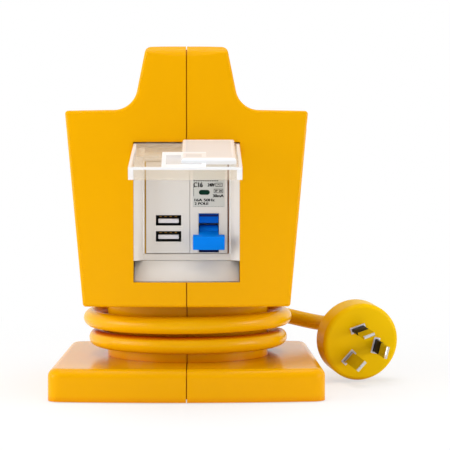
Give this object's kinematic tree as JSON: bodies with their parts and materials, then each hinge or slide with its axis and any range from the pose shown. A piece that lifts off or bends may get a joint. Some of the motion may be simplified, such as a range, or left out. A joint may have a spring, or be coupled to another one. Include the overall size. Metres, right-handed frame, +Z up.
{
  "type": "rcd adapter plug",
  "caption": "Free-standing yellow power stand with a residual current breaker, charging ports, side outlets and a wound cord with a three-pin plug.",
  "frame": {"origin": "on the floor under the middle of the base", "axes": "+X right, +Y away from the window side, +Z up"},
  "size_m": [0.1775, 0.1857, 0.1703],
  "materials": {
    "yellow_casing": "smooth gloss",
    "white_plastic": "satin",
    "grey_print": "printed film",
    "green_plastic": "satin",
    "blue_plastic": "satin",
    "clear_lid": "clear moulded plastic",
    "steel": "zinc plated",
    "plated_pin": "nickel plated",
    "brass_strip": "drawn",
    "yellow_cord": "smooth sheath"
  },
  "bodies": {
    "root": {"casing_left": "yellow_casing", "casing_right": "yellow_casing", "grip_left": "yellow_casing", "grip_right": "yellow_casing", "casing_screws": "steel", "breaker_frame": "white_plastic", "din_rail": "steel", "din_rail_screws": "steel", "breaker_case": "white_plastic", "breaker_label": "grey_print", "breaker_indicator": "green_plastic", "breaker_terminal_screws": "steel", "breaker_lever_pin": "steel", "usb_shell_lower": "steel", "usb_shell_upper": "steel", "usb_tongue_lower": "white_plastic", "usb_tongue_upper": "white_plastic", "usb_case": "white_plastic", "usb_circuit_board": "green_plastic", "usb_terminal_screws": "steel", "lid_hinge_pin": "steel", "outlet_left_front": "white_plastic", "outlet_left_rear": "white_plastic", "outlet_right_front": "white_plastic", "outlet_right_rear": "white_plastic", "active_strip_left": "brass_strip", "active_strip_right": "brass_strip", "neutral_strip_left": "brass_strip", "neutral_strip_right": "brass_strip", "earth_strip_left": "brass_strip", "earth_strip_right": "brass_strip", "cord_gland": "yellow_cord", "cord_inner_end": "yellow_cord", "cord_clamp": "white_plastic", "cord_clamp_screws": "steel", "cord_coil": "yellow_cord", "cord_tail": "yellow_cord", "plug_pin_active": "plated_pin", "plug_pin_neutral": "plated_pin", "plug_pin_earth": "plated_pin", "plug_body": "yellow_cord", "plug_strain_relief": "yellow_cord"},
    "lid": {"window_lid": "clear_lid"},
    "lever": {"breaker_lever": "blue_plastic"},
    "test_button": {"breaker_test_button": "blue_plastic"}
  },
  "joints": [
    {"name": "lid_hinge", "type": "hinge", "parent": "root", "child": "lid", "pos_m": [0, -0.0573, 0.1199], "axis": [-1, 0, 0], "range_deg": [-77.2, 13]},
    {"name": "breaker_toggle", "type": "hinge", "parent": "root", "child": "lever", "pos_m": [0.0107, -0.0437, 0.0806], "axis": [-1, 0, 0], "range_deg": [0, 40]},
    {"name": "test_press", "type": "slide", "parent": "root", "child": "test_button", "axis": [0, 1, 0], "range_m": [0, 0.0012], "stiffness_N_per_m": 200}
  ]
}
